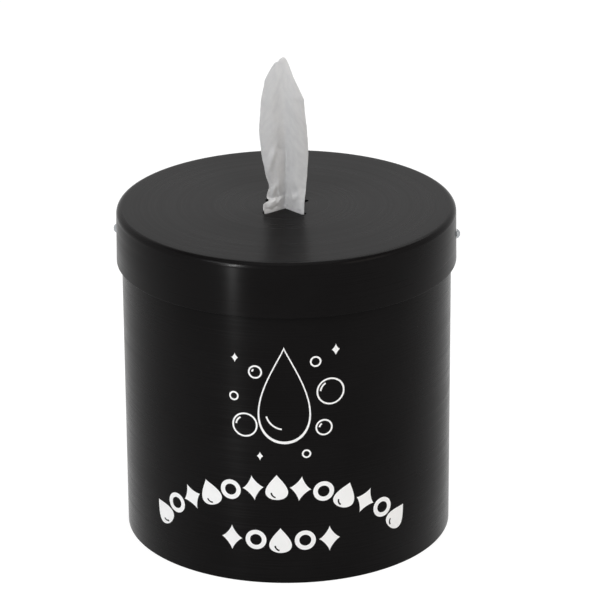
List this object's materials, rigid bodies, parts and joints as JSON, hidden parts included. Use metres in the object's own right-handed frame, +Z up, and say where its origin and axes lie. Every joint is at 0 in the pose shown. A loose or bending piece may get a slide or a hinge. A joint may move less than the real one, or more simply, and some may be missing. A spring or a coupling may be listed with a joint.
{
  "type": "wall-mounted wipe dispenser",
  "caption": "Round steel can with a lift-off lid whose cross slit feeds wipes from a centre-pull roll inside, with a hat-section bracket for hanging it on a wall.",
  "frame": {"origin": "middle of the can's flat underside, on the drum's axis", "axes": "+Z up along the drum's axis, +Y towards the wall, the printed front faces -Y, and the lid's two screws lie on the X axis"},
  "size_m": [0.259, 0.2663, 0.3698],
  "materials": {
    "black_paint": "satin black enamel on sheet steel",
    "bracket_paint": "matt black powder coat",
    "stainless_steel": "bright stainless steel screws",
    "zinc_plate": "zinc-plated steel fasteners",
    "wipe_fabric": "soft white nonwoven, slightly moist",
    "white_print": "opaque white screen print"
  },
  "bodies": {
    "can": {"drum_shell": "black_paint", "base_pan": "black_paint", "wipe_roll": "wipe_fabric", "wall_bracket": "bracket_paint", "bracket_bolt_upper": "zinc_plate", "bracket_bolt_lower": "zinc_plate", "inner_washer_upper": "zinc_plate", "inner_washer_lower": "zinc_plate", "outer_washer_upper": "zinc_plate", "outer_washer_lower": "zinc_plate", "bracket_nut_upper": "zinc_plate", "bracket_nut_lower": "zinc_plate"},
    "lid": {"lid": "black_paint", "lid_nut_left": "zinc_plate", "lid_nut_right": "zinc_plate"},
    "lid_screw_left": {"lid_screw_left": "stainless_steel"},
    "lid_screw_right": {"lid_screw_right": "stainless_steel"},
    "wipe": {"pulled_wipe": "wipe_fabric"}
  },
  "joints": [
    {"name": "lid_lift", "type": "slide", "parent": "can", "child": "lid", "axis": [0, 0, 1], "range_m": [0, 0.12]},
    {"name": "wipe_pull", "type": "slide", "parent": "lid", "child": "wipe", "axis": [0, 0, 1], "range_m": [0, 0.1]},
    {"name": "lid_screw_left_turn_out", "type": "slide", "parent": "lid", "child": "lid_screw_left", "axis": [-1, 0, 0], "range_m": [0, 0.0012]},
    {"name": "lid_screw_right_turn_out", "type": "slide", "parent": "lid", "child": "lid_screw_right", "axis": [1, 0, 0], "range_m": [0, 0.0012]}
  ]
}
